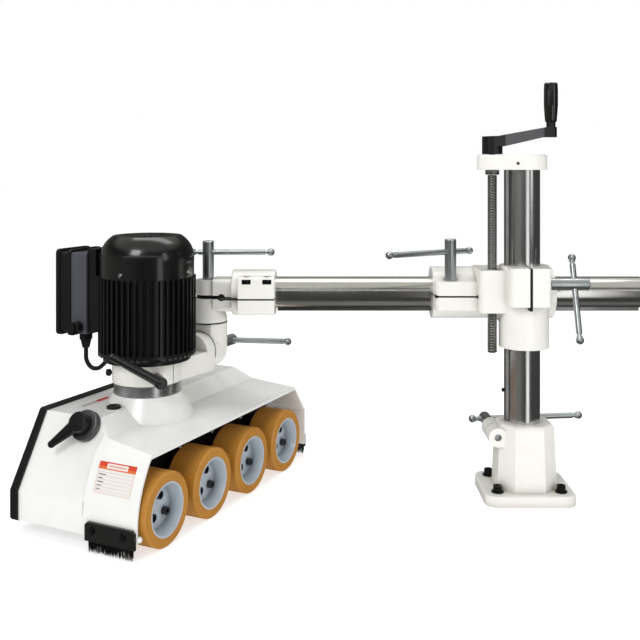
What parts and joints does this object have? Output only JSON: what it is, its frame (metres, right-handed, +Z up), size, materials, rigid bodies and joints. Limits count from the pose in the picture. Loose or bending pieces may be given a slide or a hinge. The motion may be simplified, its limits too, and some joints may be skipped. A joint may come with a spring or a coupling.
{
  "type": "power feeder",
  "caption": "Power feeder for woodworking machines: a bolt-down column with a raising screw, a sliding overarm and a swivelling motor head over a row of driven wheels.",
  "frame": {"origin": "centre of the foot's underside, on the column's axis", "axes": "+Z up the column, +X along the overarm away from the feeding head, +Y away from the operator's side with the clamp lugs"},
  "size_m": [1.1457, 0.6376, 0.77],
  "materials": {
    "cast_cream": "smooth cream stove enamel on castings",
    "head_white": "smooth white paint on sheet steel",
    "black_paint": "satin black paint",
    "black_steel": "black oxide steel",
    "polished_steel": "ground and polished steel tube",
    "zinc_steel": "bright plated steel",
    "grey_steel": "plain turned steel",
    "bronze": "machined bronze",
    "motor_black": "satin black paint on cast aluminium",
    "cowl_black": "gloss black paint on pressed steel",
    "black_plastic": "satin black moulded plastic",
    "grip_plastic": "glossy black moulded plastic",
    "tyre_yellow": "yellow-brown polyurethane",
    "rim_grey": "pale blue-grey painted die casting",
    "case_black": "black painted casting",
    "flange_steel": "turned steel",
    "dial_grey": "satin cast aluminium",
    "bristle_black": "black nylon bristles",
    "rotor_steel": "laminated steel core"
  },
  "bodies": {
    "stand": {"base_casting": "cast_cream", "base_bolts": "black_steel"},
    "base_clamp": {"base_clamp_stud": "zinc_steel"},
    "base_clamp_t_bar": {"base_clamp_bar": "zinc_steel"},
    "column": {"column_tube": "polished_steel", "column_key": "grey_steel", "key_stop_screw": "black_steel", "column_cap": "cast_cream"},
    "raising_screw": {"lead_screw": "grey_steel", "crank_arm": "black_paint"},
    "crank_handle": {"crank_grip": "grip_plastic"},
    "carriage": {"cross_bracket": "cast_cream", "lead_nut": "bronze"},
    "column_clamp": {"column_clamp_stud": "zinc_steel"},
    "column_clamp_t_bar": {"column_clamp_bar": "zinc_steel"},
    "overarm_clamp": {"overarm_clamp_stud": "zinc_steel"},
    "overarm_clamp_t_bar": {"overarm_clamp_bar": "zinc_steel"},
    "overarm": {"overarm_tube": "polished_steel", "overarm_key": "grey_steel", "arm_end_clamp": "cast_cream", "arm_end_screws": "black_steel"},
    "pivot_clamp": {"pivot_clamp_stud": "zinc_steel"},
    "pivot_clamp_t_bar": {"pivot_clamp_bar": "zinc_steel"},
    "knuckle": {"swivel_knuckle": "cast_cream"},
    "tilt_clamp": {"tilt_clamp_stud": "zinc_steel"},
    "tilt_clamp_t_bar": {"tilt_clamp_bar": "zinc_steel"},
    "ring": {"ring_arm": "cast_cream"},
    "ring_clamp": {"ring_lever": "black_paint"},
    "head": {"neck_flange": "flange_steel", "head_cover": "head_white", "side_plate": "black_plastic", "gear_case": "case_black", "motor_body": "motor_black", "motor_cowl": "cowl_black", "cowl_screws": "zinc_steel", "switch_box": "black_plastic", "switch_box_lid": "black_plastic", "cable_gland": "black_plastic", "motor_cable": "black_plastic", "brush_holders": "black_paint", "brush_screws": "black_steel", "brush_bristles": "bristle_black", "skirt_screws": "zinc_steel", "oil_plug": "black_plastic", "selector_dial": "dial_grey"},
    "switch": {"switch_knob": "black_plastic"},
    "selector": {"selector_lever": "black_plastic"},
    "rotor": {"motor_rotor": "rotor_steel"},
    "wheel_arm_1": {"swing_arm_1": "case_black"},
    "wheel_1": {"wheel_1_tyre": "tyre_yellow", "wheel_1_rim": "rim_grey"},
    "wheel_arm_2": {"swing_arm_2": "case_black"},
    "wheel_2": {"wheel_2_tyre": "tyre_yellow", "wheel_2_rim": "rim_grey"},
    "wheel_arm_3": {"swing_arm_3": "case_black"},
    "wheel_3": {"wheel_3_tyre": "tyre_yellow", "wheel_3_rim": "rim_grey"},
    "wheel_arm_4": {"swing_arm_4": "case_black"},
    "wheel_4": {"wheel_4_tyre": "tyre_yellow", "wheel_4_rim": "rim_grey"}
  },
  "joints": [
    {"name": "column_swivel", "type": "hinge", "parent": "stand", "child": "column", "pos_m": [0, 0, 0.12], "axis": [0, 0, 1], "continuous": true},
    {"name": "carriage_lift", "type": "slide", "parent": "column", "child": "carriage", "axis": [0, 0, 1], "range_m": [-0.075, 0.16]},
    {"name": "lead_screw_spin", "type": "hinge", "parent": "column", "child": "raising_screw", "pos_m": [-0.059, 0, 0.62], "axis": [0, 0, 1], "continuous": true},
    {"name": "crank_grip_spin", "type": "hinge", "parent": "raising_screw", "child": "crank_handle", "pos_m": [0.051, 0, 0.735], "axis": [0, 0, 1], "continuous": true},
    {"name": "overarm_slide", "type": "slide", "parent": "carriage", "child": "overarm", "axis": [1, 0, 0], "range_m": [-0.17, 0.2]},
    {"name": "knuckle_swivel", "type": "hinge", "parent": "overarm", "child": "knuckle", "pos_m": [-0.601, 0.075, 0.3103], "axis": [0, 0, -1], "range_deg": [-30, 90]},
    {"name": "head_tilt", "type": "hinge", "parent": "knuckle", "child": "ring", "pos_m": [-0.601, 0.075, 0.2593], "axis": [-0.4384, -0.8988, 0], "range_deg": [-90, 15]},
    {"name": "head_swivel", "type": "hinge", "parent": "ring", "child": "head", "pos_m": [-0.697, -0.04496, 0.2453], "axis": [0, 0, -1], "range_deg": [-30, 60]},
    {"name": "base_clamp_turn", "type": "hinge", "parent": "stand", "child": "base_clamp", "pos_m": [-0.055, 0, 0.115], "axis": [0, 1, 0], "range_deg": [-20, 20]},
    {"name": "base_bar_slide", "type": "slide", "parent": "base_clamp", "child": "base_clamp_t_bar", "axis": [0.9994, 0, 0.0349], "range_m": [-0.164, 0.0065]},
    {"name": "column_clamp_turn", "type": "hinge", "parent": "carriage", "child": "column_clamp", "pos_m": [0.06, -0.05, 0.3993], "axis": [1, 0, 0], "range_deg": [-30, 30]},
    {"name": "column_bar_slide", "type": "slide", "parent": "column_clamp", "child": "column_clamp_t_bar", "axis": [0, 0.342, 0.9397], "range_m": [-0.029, 0.082]},
    {"name": "overarm_clamp_turn", "type": "hinge", "parent": "carriage", "child": "overarm_clamp", "pos_m": [-0.133, 0.03, 0.4273], "axis": [0, 0, 1], "range_deg": [-45, 45]},
    {"name": "overarm_bar_slide", "type": "slide", "parent": "overarm_clamp", "child": "overarm_clamp_t_bar", "axis": [0.866, 0.5, 0], "range_m": [-0.026, 0.121]},
    {"name": "pivot_clamp_turn", "type": "hinge", "parent": "overarm", "child": "pivot_clamp", "pos_m": [-0.601, 0.075, 0.4173], "axis": [0, 0, 1], "range_deg": [-45, 45]},
    {"name": "pivot_bar_slide", "type": "slide", "parent": "pivot_clamp", "child": "pivot_clamp_t_bar", "axis": [-1, 0, 0], "range_m": [-0.0112, 0.103]},
    {"name": "tilt_clamp_turn", "type": "hinge", "parent": "knuckle", "child": "tilt_clamp", "pos_m": [-0.5747, 0.12893, 0.2593], "axis": [-0.4384, -0.8988, 0], "range_deg": [-15, 20]},
    {"name": "tilt_bar_slide", "type": "slide", "parent": "tilt_clamp", "child": "tilt_clamp_t_bar", "axis": [-0.8971, 0.4376, -0.061], "range_m": [-0.0022, 0.114]},
    {"name": "ring_lever_turn", "type": "hinge", "parent": "ring", "child": "ring_clamp", "pos_m": [-0.66446, -0.11804, 0.2393], "axis": [0.4067, -0.9135, 0], "range_deg": [-30, 40]},
    {"name": "switch_turn", "type": "hinge", "parent": "head", "child": "switch", "pos_m": [-0.83037, -0.03554, 0.317], "axis": [-0.4384, -0.8988, 0], "range_deg": [-45, 45]},
    {"name": "selector_turn", "type": "hinge", "parent": "head", "child": "selector", "pos_m": [-0.77283, -0.17419, 0.17612], "axis": [-0.3798, -0.7787, 0.4993], "range_deg": [-45, 45]},
    {"name": "rotor_spin", "type": "hinge", "parent": "head", "child": "rotor", "pos_m": [-0.697, -0.04496, 0.35], "axis": [0, 0, 1], "continuous": true},
    {"name": "wheel_arm_1_lift", "type": "hinge", "parent": "head", "child": "wheel_arm_1", "pos_m": [-0.67103, -0.15709, 0.066], "axis": [-0.8988, 0.4384, 0], "range_deg": [0, 8], "stiffness_Nm_per_rad": 40, "springref_deg": -8.59},
    {"name": "wheel_1_spin", "type": "hinge", "parent": "wheel_arm_1", "child": "wheel_1", "pos_m": [-0.65428, -0.22312, 0.06], "axis": [0.8988, -0.4384, 0], "continuous": true},
    {"name": "wheel_arm_2_lift", "type": "hinge", "parent": "head", "child": "wheel_arm_2", "pos_m": [-0.61185, -0.03575, 0.066], "axis": [-0.8988, 0.4384, 0], "range_deg": [0, 8], "stiffness_Nm_per_rad": 40, "springref_deg": -8.59},
    {"name": "wheel_2_spin", "type": "hinge", "parent": "wheel_arm_2", "child": "wheel_2", "pos_m": [-0.5951, -0.10178, 0.06], "axis": [0.8988, -0.4384, 0], "continuous": true},
    {"name": "wheel_arm_3_lift", "type": "hinge", "parent": "head", "child": "wheel_arm_3", "pos_m": [-0.55267, 0.08558, 0.066], "axis": [-0.8988, 0.4384, 0], "range_deg": [0, 8], "stiffness_Nm_per_rad": 40, "springref_deg": -8.59},
    {"name": "wheel_3_spin", "type": "hinge", "parent": "wheel_arm_3", "child": "wheel_3", "pos_m": [-0.53592, 0.01956, 0.06], "axis": [0.8988, -0.4384, 0], "continuous": true},
    {"name": "wheel_arm_4_lift", "type": "hinge", "parent": "head", "child": "wheel_arm_4", "pos_m": [-0.49349, 0.20692, 0.066], "axis": [-0.8988, 0.4384, 0], "range_deg": [0, 8], "stiffness_Nm_per_rad": 40, "springref_deg": -8.59},
    {"name": "wheel_4_spin", "type": "hinge", "parent": "wheel_arm_4", "child": "wheel_4", "pos_m": [-0.47674, 0.1409, 0.06], "axis": [0.8988, -0.4384, 0], "continuous": true}
  ],
  "couplings": [
    {"joint": "lead_screw_spin", "follows": "carriage_lift", "rad_per_m": 1256.6},
    {"joint": "wheel_1_spin", "follows": "rotor_spin", "ratio": 0.04},
    {"joint": "wheel_2_spin", "follows": "rotor_spin", "ratio": 0.04},
    {"joint": "wheel_3_spin", "follows": "rotor_spin", "ratio": 0.04},
    {"joint": "wheel_4_spin", "follows": "rotor_spin", "ratio": 0.04}
  ]
}
